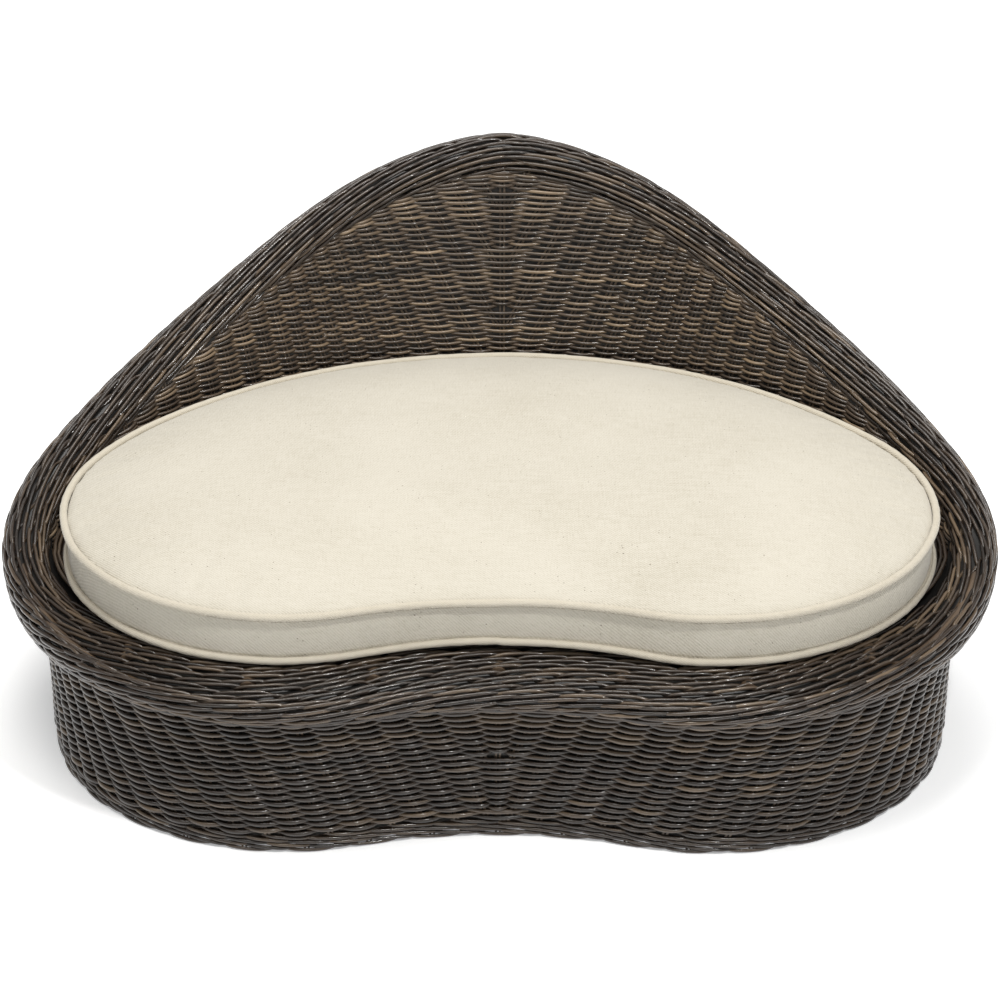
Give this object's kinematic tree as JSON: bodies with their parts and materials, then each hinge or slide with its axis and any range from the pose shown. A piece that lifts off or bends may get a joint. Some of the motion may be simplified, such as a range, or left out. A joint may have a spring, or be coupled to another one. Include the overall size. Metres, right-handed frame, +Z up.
{
  "type": "wicker pet bed basket",
  "caption": "Kidney-shaped woven pet bed with a high peaked back, a rolled rim and a loose piped box cushion that lifts out.",
  "frame": {"origin": "on the floor under the middle of the basket's overall box", "axes": "+Z up, front opening towards -Y, +X to the right when seen from the front, mirror plane x = 0"},
  "size_m": [0.933, 0.7132, 0.421],
  "materials": {
    "reed": "dark espresso stained round reed, satin lacquer",
    "rattan_pole": "dark stained rattan pole",
    "steel": "zinc plated",
    "foam": "open cell cushion foam",
    "cloth": "natural cotton twill",
    "piping": "natural cotton twill, cut on the bias",
    "piping_cord": "white cotton filler cord",
    "zip_tape": "cream zip tape with nylon coil"
  },
  "bodies": {
    "basket": {"foot_border": "reed", "base_hoop": "rattan_pole", "posts": "rattan_pole", "deck_hoop": "rattan_pole", "bearers": "rattan_pole", "deck_weave": "reed", "frame_screws": "steel", "bearer_nails": "steel", "stakes": "reed", "wall_weave_outer": "reed", "wall_weave_inner": "reed", "rim_pole": "rattan_pole", "rim_border": "reed"},
    "cushion": {"foam_core": "foam", "bottom_panel": "cloth", "top_panel": "cloth", "boxing_band": "cloth", "zip_placket": "cloth", "bottom_piping": "piping", "top_piping": "piping", "piping_cords": "piping_cord", "zip_tape": "zip_tape"},
    "slider": {"zip_slider": "steel"}
  },
  "joints": [
    {"name": "cushion_lift", "type": "slide", "parent": "basket", "child": "cushion", "axis": [0, 0, 1], "range_m": [0, 0.3]},
    {"name": "zip_travel", "type": "hinge", "parent": "cushion", "child": "slider", "pos_m": [0, -0.19267, 0.2013], "axis": [0, 0, 1], "range_deg": [-86, 0]}
  ]
}
